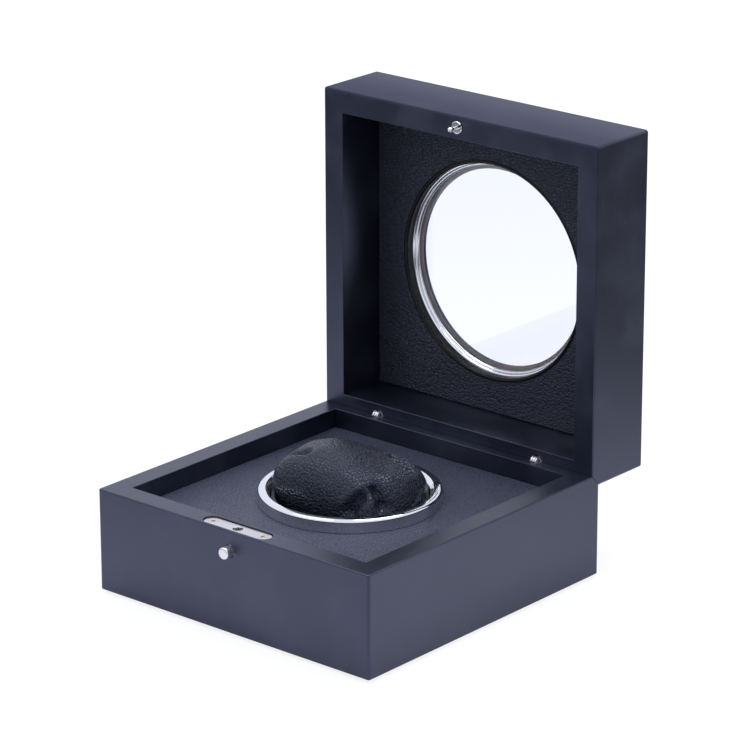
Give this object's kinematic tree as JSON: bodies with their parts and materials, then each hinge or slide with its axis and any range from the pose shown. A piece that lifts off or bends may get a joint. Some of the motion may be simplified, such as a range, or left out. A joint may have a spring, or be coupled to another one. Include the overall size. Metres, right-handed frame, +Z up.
{
  "type": "watch winder box",
  "caption": "Square lacquered case with a hinged lid and round window, holding a motor-driven cup in a polished ring with a lift-out cushion for a wristwatch.",
  "frame": {"origin": "on the surface the case stands on, under the middle of the base", "axes": "+Z up, +Y from the front (lock and button) to the back (hinges), +X to the right seen from the front"},
  "size_m": [0.16, 0.1961, 0.2045],
  "materials": {
    "lacquer": "matte black lacquer on fibreboard, rubbed smooth",
    "bare_board": "raw fibreboard",
    "panel_leather": "fine-grained black imitation leather, stretched flat",
    "cushion_leather": "soft pebble-grained black leather",
    "chrome": "polished chrome plate",
    "satin_nickel": "satin nickel plate",
    "steel": "zinc-plated steel",
    "bronze_screw": "bronzed steel",
    "motor_case": "drawn steel can",
    "glass": "clear float glass with a polished edge",
    "black_plastic": "moulded black plastic",
    "gear_plastic": "natural acetal",
    "bush_bronze": "sintered bronze",
    "circuit_green": "glass-fibre board with green mask",
    "lead_cover": "soft plastic cover",
    "base_felt": "black pressed felt",
    "felt_pad": "black felt over foam"
  },
  "bodies": {
    "base": {"base_back_board": "lacquer", "base_felt": "base_felt", "base_front_board": "lacquer", "base_hinge_barrels": "satin_nickel", "base_left_board": "lacquer", "base_right_board": "lacquer", "bearing_block": "black_plastic", "board_parts": "black_plastic", "board_pillars": "black_plastic", "bottom_plate": "lacquer", "bottom_screws": "steel", "chrome_ring": "chrome", "control_board": "circuit_green", "corner_posts": "bare_board", "deck_board": "bare_board", "deck_leather": "panel_leather", "drive_screws": "steel", "gear_motor": "motor_case", "hinge_pins": "steel", "inlet_pin": "steel", "lock_case": "steel", "lock_plate": "satin_nickel", "lock_plate_screws": "bronze_screw", "mode_switch": "black_plastic", "motor_bracket": "steel", "motor_leads": "lead_cover", "power_leads": "lead_cover", "rear_plate_screws": "steel", "rear_socket_plate": "black_plastic", "spindle_bush": "bush_bronze", "supply_inlet": "black_plastic", "thrust_washer": "gear_plastic"},
    "lid": {"lid_hinge_barrels": "satin_nickel", "lid_front_board": "lacquer", "lid_back_board": "lacquer", "lid_left_board": "lacquer", "lid_right_board": "lacquer", "lid_top_board": "lacquer", "glass_packing_board": "bare_board", "window_glass": "glass", "lid_panel_board": "bare_board", "lid_leather": "panel_leather", "window_ring": "chrome", "catch_stud": "chrome"},
    "cup": {"rotating_cup": "black_plastic", "cup_pads": "felt_pad", "spindle": "steel", "spindle_clip": "steel", "cup_screw": "steel", "drive_gear": "gear_plastic"},
    "cushion": {"cushion": "cushion_leather"},
    "pinion": {"motor_pinion": "gear_plastic", "motor_shaft": "steel"},
    "button": {"push_button": "satin_nickel", "catch_slider": "steel", "button_spring": "steel"},
    "mode_knob": {"mode_slider": "black_plastic"}
  },
  "joints": [
    {"name": "lid_hinge", "type": "hinge", "parent": "base", "child": "lid", "pos_m": [0, 0.0745, 0.05], "axis": [-1, 0, 0], "range_deg": [-90, 0]},
    {"name": "cup_spin", "type": "hinge", "parent": "base", "child": "cup", "pos_m": [0, 0, 0.02], "axis": [0, 0, 1], "continuous": true},
    {"name": "pinion_spin", "type": "hinge", "parent": "base", "child": "pinion", "pos_m": [-0.0425, -0.04235, 0.03], "axis": [0, 0, 1], "continuous": true},
    {"name": "cushion_lift", "type": "slide", "parent": "cup", "child": "cushion", "axis": [0, 0, 1], "range_m": [0, 0.045]},
    {"name": "button_press", "type": "slide", "parent": "base", "child": "button", "axis": [0, 1, 0], "range_m": [0, 0.0012], "stiffness_N_per_m": 400, "springref_m": -0.002, "deforming": ["button_spring"]},
    {"name": "mode_slide", "type": "slide", "parent": "base", "child": "mode_knob", "axis": [1, 0, 0], "range_m": [-0.002, 0.002]}
  ],
  "couplings": [
    {"joint": "pinion_spin", "follows": "cup_spin", "ratio": -3.8}
  ]
}
